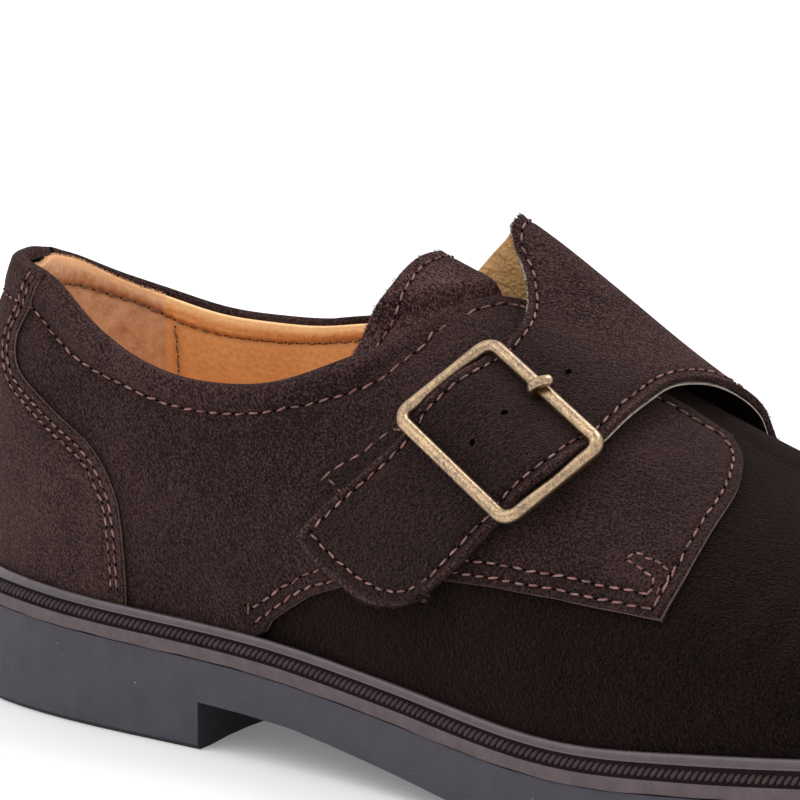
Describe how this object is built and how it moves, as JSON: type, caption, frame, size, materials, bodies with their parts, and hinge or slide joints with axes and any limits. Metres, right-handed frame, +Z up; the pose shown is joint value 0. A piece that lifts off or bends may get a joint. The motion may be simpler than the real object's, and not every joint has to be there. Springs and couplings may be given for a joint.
{
  "type": "monk strap shoe",
  "caption": "Right monk-strap shoe: suede upper, strap over the instep fastened by a rectangular buckle, storm welt and rubber sole with a low heel.",
  "frame": {"origin": "middle of the sole's plan box, at the floor", "axes": "+X from heel to toe, +Z up from the floor, +Y to the inner side of the right foot"},
  "size_m": [0.3, 0.1034, 0.1022],
  "materials": {
    "sole_rubber": "matt moulded",
    "welt_rubber": "satin",
    "lining": "smooth, semi-matt",
    "suede": "fine napped suede",
    "antique_brass": "brushed, dark patina"
  },
  "bodies": {
    "root": {"outsole": "sole_rubber", "welt": "welt_rubber", "insole": "lining", "upper": "suede", "tongue": "suede", "quarter_outer": "suede", "quarter_inner_strap": "suede", "counter": "suede", "chape": "suede", "buckle_frame": "antique_brass", "buckle_prong": "antique_brass"}
  },
  "joints": []
}
